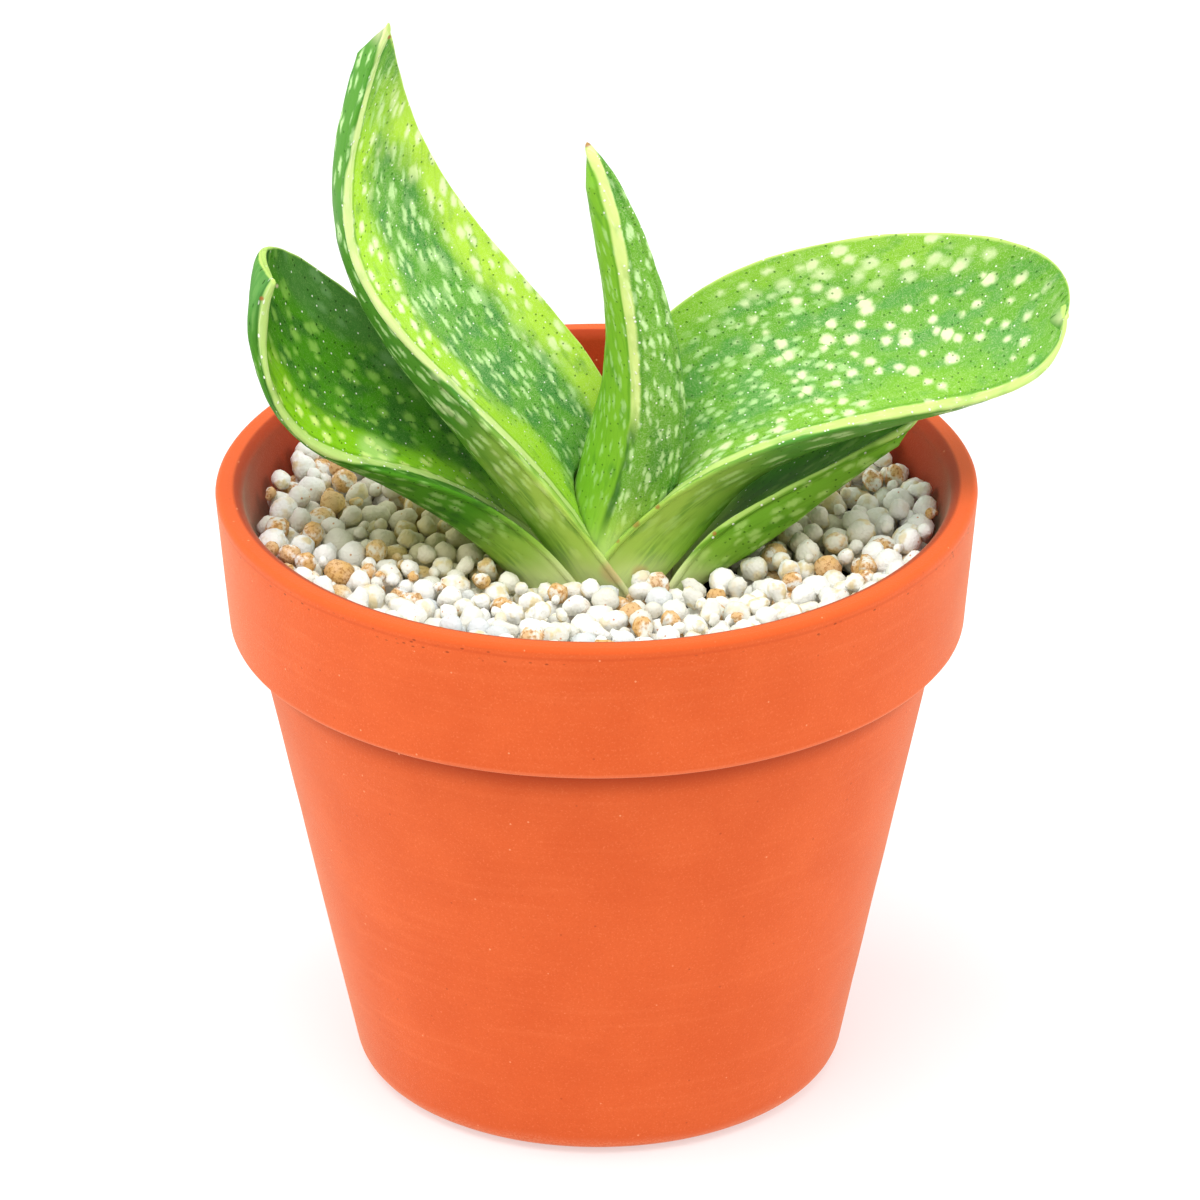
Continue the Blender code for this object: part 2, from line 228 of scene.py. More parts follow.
# Studio: the floor's half width in metres, its grey and its glow, and the strength of the white tent
FLOOR_HALF = 3
FLOOR_GREY = 0.5
FLOOR_GLOW = 0.5
TENT_STRENGTH = 0.8


def colour(red, green, blue):
    """The linear colour for a screen colour given from 0 to 255."""
    parts = [part / 255 for part in (red, green, blue)]
    return (*[p / 12.92 if p <= 0.04045 else ((p + 0.055) / 1.055) ** 2.4 for p in parts], 1)


class Level:
    """An output that varies over a surface. Arithmetic on one that is a number adds Math nodes."""

    def __init__(self, finish, link):
        self.finish = finish
        self.link = link

    def maths(self, operation, *values):
        return self.finish.add("Math", {"operation": operation}, dict(enumerate(values)))

    def __add__(self, other):
        return self.maths("ADD", self, other)

    def __sub__(self, other):
        return self.maths("SUBTRACT", self, other)

    def __rsub__(self, other):
        return self.maths("SUBTRACT", other, self)

    def __mul__(self, other):
        return self.maths("MULTIPLY", self, other)

    __radd__ = __add__
    __rmul__ = __mul__

    def more(self, other):
        """The larger of the two."""
        return self.maths("MAXIMUM", self, other)

    def size(self):
        """The number without its sign."""
        return self.maths("ABSOLUTE", self)

    def root(self):
        return self.maths("SQRT", self)

    def rise(self, start, end):
        """0 below start and 1 past end, smooth between them. With start above end it falls instead."""
        return self.finish.add(
            "MapRange",
            {"interpolation_type": "SMOOTHSTEP"},
            {"Value": self, "From Min": start, "From Max": end},
        )


class Finish:
    """One material: its shader's fixed values, and the nodes that vary over the surface."""

    def __init__(self, name, **fixed):
        self.material = bpy.data.materials.new(name)
        self.material.use_nodes = True
        self.tree = self.material.node_tree
        self.shader = self.tree.nodes["Principled BSDF"]
        for socket, value in fixed.items():
            self.shader.inputs[socket.replace("_", " ")].default_value = value

    def add(self, kind, settings, inputs, output=0):
        """Adds a node, with its settings and then its sockets' values or links, and gives an output."""
        node = self.tree.nodes.new(f"ShaderNode{kind}")
        for setting, value in settings.items():
            setattr(node, setting, value)
        for socket, value in inputs.items():
            if isinstance(value, Level):
                self.tree.links.new(value.link, node.inputs[socket])
            else:
                node.inputs[socket].default_value = value
        return Level(self, node.outputs[output])

    def feed(self, socket, level):
        self.tree.links.new(level.link, self.shader.inputs[socket])

    def object_place(self):
        """Object coordinates in millimetres from the pot's axis."""
        metres = self.add("TexCoord", {}, {}, "Object")
        return self.stretched(metres, (1 / MM, 1 / MM, 1 / MM), (-POT_X, 0, 0))

    def stretched(self, vector, stretch, shift=(0, 0, 0)):
        return self.add("Mapping", {}, {"Vector": vector, "Scale": stretch, "Location": shift})

    def attribute(self, name):
        """A vector that the mesh keeps at each point."""
        return self.add("Attribute", {"attribute_name": name}, {}, "Vector")

    def parts(self, vector):
        """The three numbers of a vector or a colour."""
        node = self.add("SeparateXYZ", {}, {0: vector}).link.node
        return [Level(self, node.outputs[k]) for k in range(3)]

    def grain(self, vector, scale, detail, roughness=0.5, distortion=0.0):
        """Noise from 0 to 1, about 0.5."""
        inputs = {"Vector": vector, "Scale": scale, "Detail": detail}
        inputs.update({"Roughness": roughness, "Distortion": distortion})
        return self.add("TexNoise", {}, inputs)

    def cells(self, vector, scale, flat=False):
        """The distance to the nearest of scattered points, that point's random numbers and its place."""
        dimensions = "2D" if flat else "3D"
        node = self.add(
            "TexVoronoi",
            {"voronoi_dimensions": dimensions},
            {"Vector": vector, "Scale": scale},
            "Distance",
        ).link.node
        lot = self.parts(Level(self, node.outputs["Color"]))
        return Level(self, node.outputs["Distance"]), lot, Level(self, node.outputs["Position"])

    def blend(self, under, over, share):
        """The colour over on the colour under, by share."""
        return self.add("Mix", {"data_type": "RGBA"}, {0: share, 6: under, 7: over}, 2)

    def near(self, vector, place, radius, softness):
        """1 within radius of a place, falling to 0 over the softness."""
        inputs = {0: vector, 1: place}
        away = self.add("VectorMath", {"operation": "DISTANCE"}, inputs, "Value")
        return away.rise(radius + softness, radius)

    def bump(self, height, depth):
        """Feeds the normal from a height, which is depth millimetres for each unit."""
        inputs = {"Height": height, "Distance": depth * MM, "Strength": 1}
        self.feed("Normal", self.add("Bump", {}, inputs))


def from_bmesh(bm, name, smooth_below):
    """A piece from a bmesh in millimetres about the pot's axis, put in its place in the frame. It is smooth
    across edges below the given angle, in degrees."""
    bmesh.ops.translate(bm, vec=(POT_X, 0, 0), verts=bm.verts[:])
    bmesh.ops.scale(bm, vec=(MM, MM, MM), verts=bm.verts[:])
    mesh = bpy.data.meshes.new(name)
    bm.to_mesh(mesh)
    bm.free()
    mesh.shade_smooth()
    mesh.set_sharp_from_angle(angle=radians(smooth_below))
    obj = bpy.data.objects.new(name, mesh)
    bpy.context.scene.collection.objects.link(obj)
    return obj


def settle(obj, node, finish):
    """The piece rides on the pot's body in place of its CAD node, with its finish."""
    obj.data.materials.clear()
    obj.data.materials.append(finish.material)
    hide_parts(node)
    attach(obj, "root")


def face_outwards(bm):
    """Turns the faces of a closed mesh outwards."""
    bmesh.ops.recalc_face_normals(bm, faces=bm.faces[:])
    if bm.calc_volume(signed=True) < 0:
        bmesh.ops.reverse_faces(bm, faces=bm.faces[:])


def arc(centre_r, centre_z, radius, start, end):
    """Profile points round a centre, with the angles in degrees from the outward direction."""
    angles = [radians(start + (end - start) * k / ROUND_STEPS) for k in range(ROUND_STEPS + 1)]
    return [(centre_r + radius * cos(a), centre_z + radius * sin(a)) for a in angles]


def inner_radius(z):
    """The pot's inner wall, straight from its mouth to the round at its floor."""
    top = POT_HEIGHT - LIP_INNER_ROUND
    bottom = FLOOR_HEIGHT + FLOOR_ROUND
    share = (top - z) / (top - bottom)
    return MOUTH_RADIUS + (FLOOR_RADIUS - MOUTH_RADIUS) * share


def pot_profile():
    """The wall's outline, from the drain hole up the outside, over the lip and down the inside."""
    corners = [
        [(DRAIN_RADIUS, 0)],
        arc(BASE_RADIUS - FOOT_ROUND, FOOT_ROUND, FOOT_ROUND, -90, -WALL_LEAN),
        arc(
            SHOULDER_RADIUS + SHOULDER_ROUND,
            RIM_FOOT - SHOULDER_ROUND,
            SHOULDER_ROUND,
            180 - WALL_LEAN,
            90 + RIM_UNDERSIDE_LEAN,
        ),
        arc(
            RIM_FOOT_RADIUS - RIM_FOOT_ROUND,
            RIM_FOOT + RIM_FOOT_ROUND,
            RIM_FOOT_ROUND,
            RIM_UNDERSIDE_LEAN - 90,
            0,
        ),
        arc(RIM_RADIUS - LIP_OUTER_ROUND, POT_HEIGHT - LIP_OUTER_ROUND, LIP_OUTER_ROUND, 0, 90),
        arc(MOUTH_RADIUS + LIP_INNER_ROUND, POT_HEIGHT - LIP_INNER_ROUND, LIP_INNER_ROUND, 90, 180),
        arc(FLOOR_RADIUS - FLOOR_ROUND, FLOOR_HEIGHT + FLOOR_ROUND, FLOOR_ROUND, 0, -90),
        [(DRAIN_RADIUS, FLOOR_HEIGHT)],
    ]
    profile = []
    for corner in corners:
        if profile:
            start, end = Vector(profile[-1]), Vector(corner[0])
            steps = max(1, round((end - start).length / WALL_STEP))
            profile += [tuple(start.lerp(end, k / steps)) for k in range(1, steps)]
        profile += corner
    return profile


def make_pot():
    """The pot, turned from its profile, with the slight unevenness of pressed clay."""
    bm = bmesh.new()
    verts = [bm.verts.new((r, 0, z)) for r, z in pot_profile()]
    edges = [bm.edges.new(pair) for pair in zip(verts, verts[1:] + verts[:1])]
    bmesh.ops.spin(
        bm,
        geom=verts + edges,
        cent=(0, 0, 0),
        axis=(0, 0, 1),
        angle=2 * pi,
        steps=POT_SIDES,
        use_merge=True,
    )
    bmesh.ops.remove_doubles(bm, verts=bm.verts[:], dist=MERGE)
    face_outwards(bm)
    for vert in bm.verts:
        lift = min(1, vert.co.z / FOOT_ROUND)
        swell = noise.noise(vert.co * POT_WAVE) + RIPPLE_SHARE * noise.noise(vert.co * POT_RIPPLE)
        vert.co.xy *= 1 + POT_SWELL * lift * swell / RIM_RADIUS
        waver = noise.noise(vert.co * WAVER_SCALE + WAVER_SHIFT)
        vert.co.z += POT_SWELL * WAVER_SHARE * lift * waver
    return from_bmesh(bm, "terracotta_pot", POT_SHARP)


def bezier(controls, t):
    """The point or value at t of the curve that the controls pull."""
    n = len(controls) - 1
    weights = [comb(n, k) * t**k * (1 - t) ** (n - k) for k in range(n + 1)]
    return sum(weight * np.array(control, float) for weight, control in zip(weights, controls))


def belly(s):
    """The lower face's fullness across the leaf, 1 at the off-centre keel and 0 at both margins."""
    margin = -1 if s < KEEL_PLACE else 1
    share = (s - KEEL_PLACE) / (margin - KEEL_PLACE)
    return max(0, 1 - share * share) ** BELLY_POWER


# A leaf's section: turns round a margin, and places across each face, from -1 at the near margin to 1 at
# the far one and back
TURNS = [pi * k / EDGE_STEPS for k in range(1, EDGE_STEPS)]
UNDER = [-cos(pi * k / LOWER_STEPS) for k in range(LOWER_STEPS + 1)]
OVER = [cos(pi * k / UPPER_STEPS) for k in range(UPPER_STEPS + 1)]


def leaf_ring(leaf, t, grow=0.0):
    """Points round the leaf's section at t: near margin, lower face, far margin, upper face."""
    near = [*leaf["near"], leaf["tip"]]
    far = [*leaf["far"], leaf["tip"]]
    step = 0.01
    least = 0.01
    start, end = bezier(near, t), bezier(far, t)
    ahead = bezier(near, t + step) + bezier(far, t + step)
    behind = bezier(near, t - step) + bezier(far, t - step)
    width = np.linalg.norm(end - start)
    across = (end - start) / max(width, least)
    down = -leaf["upper_side"] * np.cross(across, ahead - behind)
    down /= max(np.linalg.norm(down), least)
    narrowing = min(1, width / FULL_WIDTH)
    edge = EDGE_THICKNESS * narrowing
    hollow = bezier(leaf["hollow"], t) * narrowing
    depth = bezier(leaf["depth"], t) * narrowing
    roll = EDGE_ROLL * edge

    def at(s, drop, out=0.0):
        return (start + end) / 2 + across * (s * width / 2 + out) + down * drop

    def margin(side, turn):
        drop = edge / 2 + side * (edge / 2 + grow) * cos(turn)
        return at(side, drop, side * (grow + roll * sin(turn)))

    return [
        *[margin(-1, turn) for turn in TURNS],
        *[at(s, edge + depth * belly(s) + grow, s * grow) for s in UNDER],
        *[margin(1, turn) for turn in TURNS],
        *[at(s, hollow * (1 - s * s) - grow, s * grow) for s in OVER],
    ]


def leaf_rings(leaf, stations, grow=0.0):
    """The leaf's sections from its base to its tip, crowded towards the tip."""
    rings = [leaf_ring(leaf, 1 - (1 - k / stations) ** TIP_CROWDING, grow) for k in range(stations)]
    rings.append([np.array(leaf["tip"], float)] * len(rings[0]))
    return np.array(rings)


def leaf_bmesh(rings):
    """A grid wrapped round the leaf from ring to ring, closed at its base and to a point at its tip."""
    stations, around = len(rings) - 1, len(rings[0])
    bm = bmesh.new()
    row_of = bm.verts.layers.int.new("row")
    column_of = bm.verts.layers.int.new("column")
    bmesh.ops.create_grid(bm, x_segments=around, y_segments=stations, size=0.5)
    for vert in bm.verts:
        vert[column_of] = round((vert.co.x + 0.5) * around) % around
        vert[row_of] = round((vert.co.y + 0.5) * stations)
        vert.co = Vector(rings[vert[row_of]][vert[column_of]])
    bmesh.ops.remove_doubles(bm, verts=bm.verts[:], dist=MERGE)
    bmesh.ops.contextual_create(bm, geom=[edge for edge in bm.edges if edge.is_boundary])
    face_outwards(bm)
    return bm


def leaf_places(rings, ridge):
    """Where each point of the rings lies on the leaf: how far it is from the near margin, below 0 on the
    lower face, how far along, which face it is on, how far past the ridge and from the far margin, all in
    millimetres, and its share of the way up."""
    stations, around = rings.shape[:2]
    near_middle = len(TURNS) // 2
    far_middle = len(TURNS) + len(UNDER) + len(TURNS) // 2
    lower = list(range(near_middle, far_middle + 1))
    upper = [k % around for k in range(near_middle + around, far_middle - 1, -1)]
    middle = rings.mean(axis=1)
    along = np.concatenate([[0], np.cumsum(np.linalg.norm(np.diff(middle, axis=0), axis=1))])
    share = along / along[-1]
    places = np.zeros((stations, around, 6))
    for face, path in ((1, lower), (0, upper)):
        steps = np.linalg.norm(np.diff(rings[:, path], axis=1), axis=2)
        across = np.concatenate([np.zeros((stations, 1)), np.cumsum(steps, axis=1)], axis=1)
        places[:, path, 0] = across * (1 - 2 * face)
        places[:, path, 2] = face
        places[:, path, 4] = across[:, -1:] - across
    places[:, :, 1] = along[:, None]
    places[:, :, 3] = places[:, :, 0] - bezier(ridge, share)[:, None]
    places[:, :, 5] = share[:, None]
    return places


def keep_places(mesh, whole, corners):
    """Writes to the cut leaf's mesh where each of its points lies on the whole leaf."""
    found = np.zeros((len(mesh.vertices), 6), np.float32)
    for vert in mesh.vertices:
        spot = vert.co / MM - Vector((POT_X, 0, 0))
        at, _, index, _ = whole.find_nearest(spot)
        points, places = corners[index]
        found[vert.index] = np.array(poly_3d_calc(points, at)) @ places
    for name, columns in (("place", slice(0, 3)), ("edges", slice(3, 6))):
        attribute = mesh.attributes.new(name, "FLOAT_VECTOR", "POINT")
        attribute.data.foreach_set("vector", np.ascontiguousarray(found[:, columns]).ravel())


def swell_leaf(bm, places):
    """Raises the leaf's skin in slight swells, dimples it, and raises its ridge."""
    row_of = bm.verts.layers.int["row"]
    column_of = bm.verts.layers.int["column"]
    bm.normal_update()
    moves = []
    for vert in bm.verts:
        _, along, _, past_ridge, _, _ = places[vert[row_of], vert[column_of]]
        swell = noise.noise(vert.co * LEAF_WAVE) + DIMPLE_SHARE * noise.noise(vert.co * LEAF_DIMPLE)
        ridge = max(0, 1 - (past_ridge / RIDGE_HALF) ** 2) * min(1, max(0, along / RIDGE_START - 1))
        moves.append(vert.normal * (LEAF_UNEVENNESS * swell + RIDGE_RISE * ridge))
    for vert, move in zip(bm.verts, moves):
        vert.co += move


def flat_foot(bm):
    """Cuts the leaf off level where it stands on the stem."""
    bmesh.ops.bisect_plane(
        bm,
        geom=bm.verts[:] + bm.edges[:] + bm.faces[:],
        plane_co=(0, 0, CROWN_BASE),
        plane_no=(0, 0, -1),
        clear_outer=True,
    )
    bmesh.ops.holes_fill(bm, edges=[edge for edge in bm.edges if edge.is_boundary])
    face_outwards(bm)


def face_corners(bm, places):
    """For each face, its corner points and where they lie on the leaf."""
    row_of = bm.verts.layers.int["row"]
    column_of = bm.verts.layers.int["column"]
    corners = []
    for face in bm.faces:
        points = [vert.co.copy() for vert in face.verts]
        corners.append((points, np.array([places[v[row_of], v[column_of]] for v in face.verts])))
    return corners


def cut_clear(piece, cutters):
    """Cuts the piece by each of the cutters, for good."""
    for cutter in cutters:
        cut = piece.modifiers.new(cutter.name, "BOOLEAN")
        cut.operation = "DIFFERENCE"
        cut.solver = "MANIFOLD"
        cut.object = cutter
    shape = piece.evaluated_get(bpy.context.evaluated_depsgraph_get())
    piece.data = bpy.data.meshes.new_from_object(shape)
    piece.modifiers.clear()
    piece.data.shade_smooth()
    piece.data.set_sharp_from_angle(angle=radians(LEAF_SHARP))


def make_leaves():
    """The leaves from the innermost out: each is cut clear of those that it wraps."""
    leaves = {}
    cutters = []
    for name, leaf in LEAVES.items():
        rings = leaf_rings(leaf, LEAF_STATIONS)
        places = leaf_places(rings, RIDGES[name])
        bm = leaf_bmesh(rings)
        swell_leaf(bm, places)
        whole = BVHTree.FromBMesh(bm)
        corners = face_corners(bm, places)
        flat_foot(bm)
        piece = from_bmesh(bm, f"{name}_skin", LEAF_SHARP)
        cut_clear(piece, cutters)
        keep_places(piece.data, whole, corners)
        leaves[name] = piece
        wider = leaf_bmesh(leaf_rings(leaf, CUTTER_STATIONS, LEAF_GAP))
        cutters.append(from_bmesh(wider, f"{name}_cutter", LEAF_SHARP))
    for cutter in cutters:
        bpy.data.objects.remove(cutter)
    return leaves


def fused_reach(direction, balls):
    """How far the surface of fused balls lies from their middle in a direction."""
    reach = 0
    for centre, radius in balls:
        nearest = direction.dot(centre)
        under = nearest**2 - centre.length_squared + radius**2
        if under > 0:
            reach = max(reach, nearest + sqrt(under))
    return reach


def pellet_shapes(draw):
    """Lumpy balls of 54 faces and of about unit radius, some with a knob or two."""
    shapes = []
    for k in range(ROUND_SHAPES + KNOBBED_SHAPES):
        balls = [(Vector((0, 0, 0)), 1)]
        if k >= ROUND_SHAPES:
            balls = [CORE]
            for _ in range(1 + k % 2):
                lean = Vector((*draw.uniform(-1, 1, 2), 0))
                balls.append(((UP + lean).normalized() * KNOB_REACH, draw.uniform(*KNOB_RADIUS)))
        bm = bmesh.new()
        bmesh.ops.create_cube(bm, size=2)
        bmesh.ops.subdivide_edges(bm, edges=bm.edges[:], cuts=2, use_grid_fill=True)
        for vert in bm.verts:
            way = Vector([np.tan(pi / 4 * part) for part in vert.co]).normalized()
            lump = noise.noise(way * LUMP_SCALE + Vector((5 * k, 0, 0)))
            vert.co = way * fused_reach(way, balls) * (1 + PELLET_LUMP * lump)
        face_outwards(bm)
        mesh = bpy.data.meshes.new("pellet_shape")
        bm.to_mesh(mesh)
        bm.free()
        mesh.shade_smooth()
        mesh.attributes.new("tint", "FLOAT_VECTOR", "POINT")
        shapes.append(mesh)
    return shapes


def settle_balls(draw, trees, balls, sort):
    """Drops balls one by one, each to the lowest free place that it tries among the leaves. Each row of the
    result is a ball's middle and radius."""

    def clear(spot, radius):
        for tree in trees:
            away = tree.find_nearest(spot)[3]
            way_out = tree.ray_cast(spot, UP)[1]
            if away < radius - PELLET_SINK or (way_out and way_out.z > 0):
                return False
        return True

    for _ in range(sort.drops):
        varies = np.clip(draw.normal(0, RADIUS_SPREAD), *RADIUS_LIMITS)
        radius = sort.radius * (1 + RADIUS_VARIES * varies)
        angle = draw.uniform(0, 2 * pi, sort.tries)
        reach = (inner_radius(PELLET_TOP) - radius) * np.sqrt(draw.uniform(0, 1, sort.tries))
        x, y = reach * np.cos(angle), reach * np.sin(angle)
        z = np.full(sort.tries, PELLET_FLOOR + radius)
        if len(balls):
            apart = np.hypot(x[:, None] - balls[:, 0], y[:, None] - balls[:, 1])
            touch = (radius + balls[:, 3]) * PELLET_CLOSENESS
            above = balls[:, 2] + np.sqrt(np.maximum(touch**2 - apart**2, 0))
            z = np.maximum(z, np.where(apart < touch, above, 0).max(axis=1))
        top = PELLET_TOP + PELLET_DISH * (reach / BED_EDGE) ** DISH_POWER
        fits = (z + radius < top - sort.headroom) & (z - radius > top - sort.depth)
        fits &= reach + radius < inner_radius(z)
        for k in np.argsort(z):
            if fits[k] and clear(Vector((x[k], y[k], z[k])), radius):
                balls = np.vstack([balls, (x[k], y[k], z[k], radius)])
                break
    return balls


def make_pellets(leaves):
    """The bed of loose pellets and crumbs about the leaves, each with random numbers for its tint."""
    draw = np.random.default_rng(PELLET_SEED)
    back = Matrix.Translation((-POT_X, 0, 0)) @ Matrix.Scale(1 / MM, 4)
    trees = []
    for obj in [*leaves.values(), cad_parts["stem"]]:
        points = [back @ vert.co for vert in obj.data.vertices]
        trees.append(BVHTree.FromPolygons(points, [face.vertices[:] for face in obj.data.polygons]))
    shapes = pellet_shapes(draw)
    balls = settle_balls(draw, trees, np.zeros((0, 4)), WHOLE_PELLETS)
    balls = settle_balls(draw, trees, balls, CRUMBS)
    bm = bmesh.new()
    for x, y, z, radius in balls:
        mesh = shapes[draw.integers(len(shapes))].copy()
        turn = Euler(draw.uniform(0, 2 * pi, 3)).to_matrix().to_4x4()
        stretch = Matrix.Diagonal((*draw.uniform(*PELLET_STRETCH, 3), 1))
        mesh.transform(Matrix.Translation((x, y, z)) @ turn @ stretch @ Matrix.Scale(radius, 4))
        tint = draw.uniform(0, 1, 3).astype(np.float32)
        mesh.attributes["tint"].data.foreach_set("vector", np.tile(tint, len(mesh.vertices)))
        bm.from_mesh(mesh)
        bpy.data.meshes.remove(mesh)
    for mesh in shapes:
        bpy.data.meshes.remove(mesh)
    return from_bmesh(bm, "loose_pellets", ALL_SMOOTH)


def pot_shades(finish, body, z, radius, cloud, grain):
    """The lip, the rubbed foot, painted shade inside and under the rim, and a painted highlight on its
    edge.
    """
    lip = (z + cloud * 0.6).rise(POT_HEIGHT - 0.7, POT_HEIGHT - 0.1)
    body = finish.blend(body, colour(222, 90, 34), lip * 0.7)
    foot = (z + cloud * 4).rise(FOOT_ROUND + 1.5, FOOT_ROUND - 0.3)
    body = finish.blend(body, colour(250, 150, 104), foot * grain.rise(0.4, 0.6) * 0.45)
    # Painted shade on the inner wall below the lip, deepest by the pellets.
    inner_shade = z.rise(PELLET_FLOOR - 4.3, PELLET_FLOOR - 0.3) * z.rise(POT_HEIGHT - 0.1, POT_HEIGHT - 3.3)
    inner_shade = inner_shade * radius.rise(MOUTH_RADIUS + 0.6, MOUTH_RADIUS)
    body = finish.blend(body, colour(190, 52, 0), inner_shade * 0.85)
    shade_by_pellets = z.rise(PELLET_TOP + 4.2, PELLET_TOP - 0.8)
    body = finish.blend(body, colour(84, 18, 0), inner_shade * shade_by_pellets * 0.85)
    # Painted shade below the rim band.
    shade = z.rise(RIM_FOOT - 5.5, RIM_FOOT - 0.4)
    shade = shade * radius.rise(RIM_FOOT_RADIUS - 0.4, RIM_FOOT_RADIUS - 1)
    body = finish.blend(body, colour(158, 50, 12), shade * 0.9)
    # A painted highlight along the rim band's lower edge.
    edge = (z - (RIM_FOOT + RIM_FOOT_ROUND) + cloud * 0.5).size().rise(0.5, 0.1)
    edge = edge * radius.rise(RIM_FOOT_RADIUS - 0.8, RIM_FOOT_RADIUS - 0.4)
    return finish.blend(body, colour(248, 150, 108), edge * 0.2)


def lip_line_and_pits(finish, body, place, z, radius, streak):
    """The darker line and the row of pits below the lip."""
    line = (z - LIP_LINE + streak * 0.4).size().rise(0.35, 0.05)
    line = line * radius.rise(RIM_RADIUS - 1.5, RIM_RADIUS - 1)
    body = finish.blend(body, colour(208, 80, 34), line * 0.5)
    hole, lot, _ = finish.cells(finish.stretched(place, (1, 1, 1.9)), 0.95)
    crowd = finish.grain(place, 0.09, 1)
    pits = hole.rise(0.34, 0.12) * (lot[0] + crowd * 1.6).rise(1.45, 1.6)
    pits = pits * (z - PIT_ROW).size().rise(0.9, 0.5)
    return finish.blend(body, colour(134, 50, 22), pits * 0.7)


def terracotta():
    """Fine-grained orange clay with soft streaks, painted shade and highlight, wear, and dark and pale
    flecks.
    """
    finish = Finish(
        "terracotta",
        Roughness=0.7,
        Specular_IOR_Level=0.15,
        Sheen_Weight=0.27,
        Sheen_Roughness=0.35,
        Sheen_Tint=(0.8, 1, 0.74, 1),
    )
    place = finish.object_place()
    x, y, z = finish.parts(place)
    radius = (x * x + y * y).root()
    cloud = finish.grain(place, 0.09, 4, 0.55)
    streak = finish.grain(finish.stretched(place, (0.05, 0.05, 0.9)), 1, 3)
    grain = finish.grain(place, 3.6, 3, 0.7)
    body = finish.blend(colour(220, 92, 40), colour(226, 98, 45), cloud.rise(0.3, 0.7))
    body = finish.blend(body, colour(246, 132, 80), streak.rise(0.5, 0.8) * 0.12)
    body = finish.blend(body, colour(205, 78, 34), grain.rise(0.55, 0.72) * 0.4)
    body = finish.blend(body, colour(252, 148, 96), grain.rise(0.45, 0.3) * 0.3)
    body = pot_shades(finish, body, z, radius, cloud, grain)
    body = lip_line_and_pits(finish, body, place, z, radius, streak)
    fleck, lot, _ = finish.cells(place, 0.42)
    dark_flecks = fleck.rise(0.09, 0.04) * lot[0].rise(0.6, 0.62)
    pale_flecks = fleck.rise(0.08, 0.03) * lot[0].rise(0.3, 0.28)
    body = finish.blend(body, colour(186, 66, 28), dark_flecks * 0.6)
    body = finish.blend(body, colour(255, 178, 128), pale_flecks * 0.6)
    finish.feed("Base Color", body)
    finish.bump(grain, 0.06)
    return finish


def pellet_clay():
    """Off-white clay with small rusty dots. Some pellets are ochre on one side and a few all through."""
    finish = Finish("pellet_clay", Roughness=0.75, Specular_IOR_Level=0.25)
    place = finish.object_place()
    lot = finish.parts(finish.attribute("tint"))
    speck = finish.grain(place, 2.2, 3, 0.65)
    cloud = finish.grain(place, 0.55, 2)
    left = finish.parts(place)[0].rise(-8, -36)
    body = finish.blend(colour(228, 226, 214), colour(250, 249, 244), lot[1].rise(0.0, 0.6))
    buff = cloud.rise(0.48, 0.66) * lot[2].rise(0.15, 0.7)
    body = finish.blend(body, colour(228, 208, 158), buff * 0.85)
    body = finish.blend(body, colour(206, 212, 218), lot[2].rise(0.05, 0.02) * 0.7)
    side = (cloud + speck * 0.2).rise(0.46, 0.64)
    ochre = (lot[0] + left * 0.16).rise(0.87, 0.89) * side
    ochre = ochre.more((lot[0] + left * 0.03).rise(0.975, 0.98))
    body = finish.blend(body, colour(222, 168, 88), ochre * 0.8)
    body = finish.blend(body, colour(164, 106, 42), ochre * speck.rise(0.5, 0.64) * 0.7)
    dot, chance, _ = finish.cells(place, 0.9)
    dots = dot.rise(0.17, 0.09) * chance[0].rise(0.72, 0.76)
    body = finish.blend(body, colour(200, 118, 52), dots * 0.8)
    for spot, strength in GREEN_LIGHT:
        lit = finish.near(place, spot, GREEN_REACH, GREEN_FADE)
        body = finish.blend(body, colour(192, 186, 116), lit * strength)
    finish.feed("Base Color", body)
    finish.bump(speck + cloud * 0.8, 0.2)
    return finish


# Spots of one kind on a leaf: the zone they lie in, how far apart they are across and along, how many
# there are, their colour and strength, and the stretch of the leaf that they cover, in millimetres
Spots = namedtuple("Spots", "zone width length density paint strength start end")

# How far the spots run in and out at the ends of their stretch
SPOT_FADE = 4

# A single mark: its place, its radius and the softness of its edge in millimetres, its colour and strength
Mark = namedtuple("Mark", "spot radius softness paint strength")

RUST = colour(170, 96, 56)
STAIN = colour(206, 168, 120)
CREAM = colour(240, 250, 196)
STREAK = colour(196, 232, 160)

# The look that the leaves share. The middle, the inner side by the ridge, the outer side by the far margin
# and the back each have a green, and shade and dark mottle them. The pale base reaches bare millimetres
# along, and bare_back further on the back. The tip's colour starts at a share of the way up, and the
# ridge's at a distance along. A crease, where set, gets painted shade along the foot of a keel.
LEAF = {
    "middle": colour(98, 164, 54),
    "shade": colour(72, 142, 60),
    "inner": colour(146, 204, 34),
    "outer": colour(160, 212, 62),
    "back": colour(94, 156, 58),
    "dark": colour(50, 120, 30),
    "curls": CREAM,
    "base": colour(204, 238, 104),
    "tip": colour(200, 222, 130),
    "tip_from": 0.96,
    "ridge": colour(206, 232, 132),
    "ridge_half": 0.8,
    "ridge_from": 0,
    "margin": colour(196, 226, 120),
    "margin_width": 0.8,
    "crease_shade": False,
    "bare": 8,
    "bare_back": 16,
    "gloss": 0.18,
}

